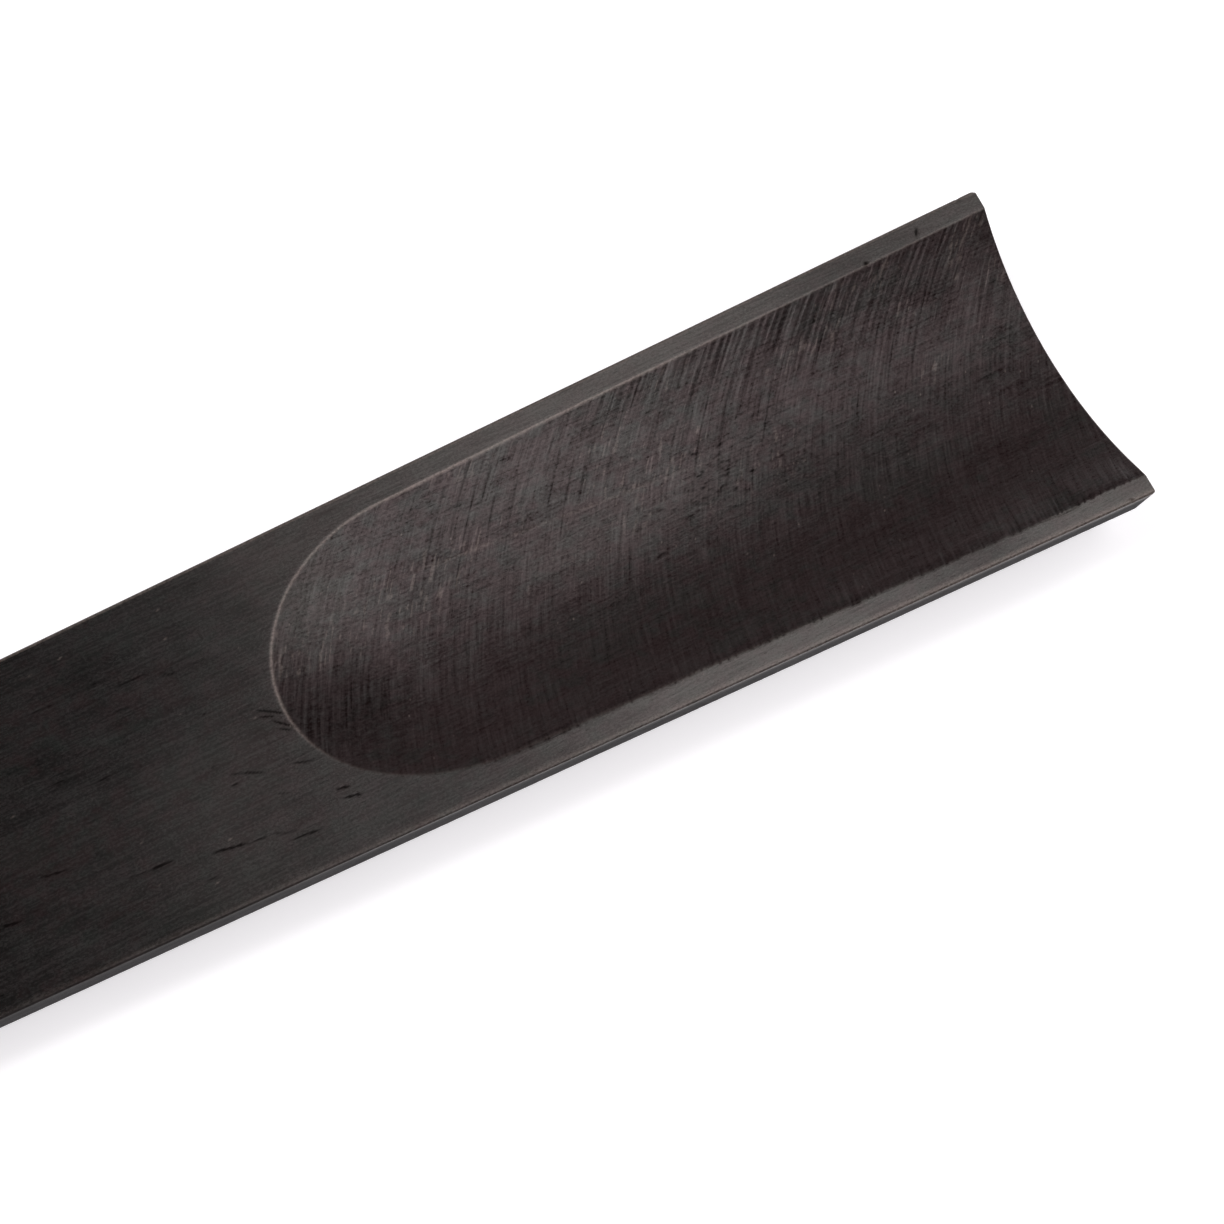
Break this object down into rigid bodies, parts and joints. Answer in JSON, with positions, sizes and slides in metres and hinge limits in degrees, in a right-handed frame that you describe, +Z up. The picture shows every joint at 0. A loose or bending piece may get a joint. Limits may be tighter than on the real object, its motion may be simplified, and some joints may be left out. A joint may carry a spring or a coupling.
{
  "type": "violin fingerboard",
  "caption": "Tapered ebony fingerboard blank for a violin, arched on its playing side and scooped out on its flat glue face towards the wide end.",
  "frame": {"origin": "on the surface that the board lies on, under the middle of its bounding box", "axes": "+X towards the wide end, +Y across the board, +Z up out of the glue face; the board lies on the lowest line of its arched playing side, so the glue face climbs 0.82 degrees towards +X"},
  "size_m": [0.2702, 0.042, 0.0111],
  "materials": {
    "ebony": "raw, satin, fine machining marks"
  },
  "bodies": {
    "root": {"fingerboard": "ebony"}
  },
  "joints": []
}
